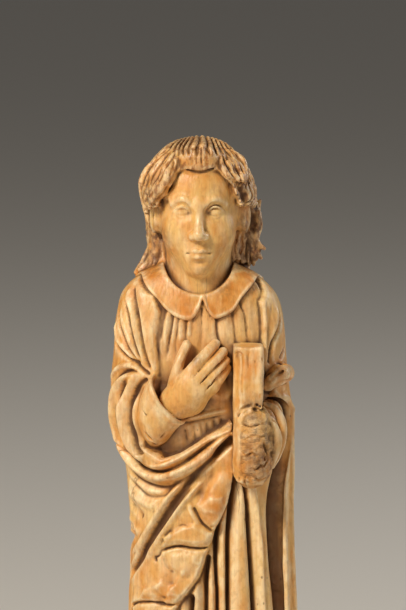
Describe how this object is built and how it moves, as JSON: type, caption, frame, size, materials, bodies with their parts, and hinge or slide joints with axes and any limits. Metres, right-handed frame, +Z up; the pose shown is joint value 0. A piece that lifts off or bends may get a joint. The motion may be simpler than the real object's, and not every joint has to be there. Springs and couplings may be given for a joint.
{
  "type": "ivory saint statuette",
  "caption": "Standing saint carved from ivory on a low base, long combed hair, pleated gown and cloak, one hand on the chest and a closed book in the other.",
  "frame": {"origin": "middle of the underside of the low base", "axes": "+Z up the figure, the saint faces -Y, +X to the right of someone facing the saint"},
  "size_m": [0.06, 0.0474, 0.2104],
  "materials": {
    "ivory": "old hand-polished ivory, cream with honey and brown patina in the hollows"
  },
  "bodies": {
    "root": {"saint_statuette": "ivory"}
  },
  "joints": []
}
